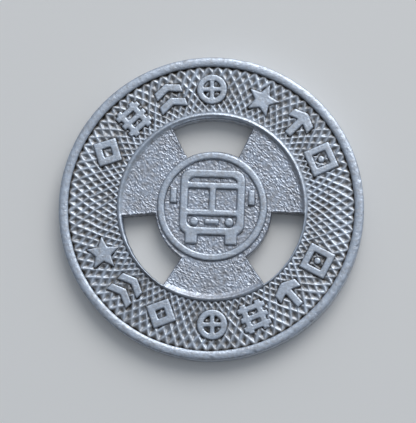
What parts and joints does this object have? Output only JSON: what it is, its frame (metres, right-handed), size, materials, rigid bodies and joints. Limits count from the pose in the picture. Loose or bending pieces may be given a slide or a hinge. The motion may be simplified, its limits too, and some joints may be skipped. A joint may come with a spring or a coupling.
{
  "type": "transit token",
  "caption": "Round transit fare token in white metal: raised rim, knurled band with raised ornaments, and a hub held by arms between cut-out windows.",
  "frame": {"origin": "centre of the reverse rim's plane, which the token lies on", "axes": "+Z out of the obverse face, +Y towards the head of the obverse design"},
  "size_m": [0.023, 0.023, 0.0016],
  "materials": {
    "worn_metal": "nickel silver, high points worn smooth and satin, with nicks and fine scratches",
    "struck_metal": "nickel silver as struck, finely stippled or knurled, with dark warm tarnish in the recesses"
  },
  "bodies": {
    "root": {"rim": "worn_metal", "legend_band": "struck_metal", "inner_ring": "worn_metal", "hub": "struck_metal", "upper_left_arm": "struck_metal", "upper_right_arm": "struck_metal", "lower_arm": "struck_metal", "obverse_legend": "worn_metal", "obverse_emblem": "worn_metal", "reverse_legend": "worn_metal", "reverse_emblem": "worn_metal"}
  },
  "joints": []
}
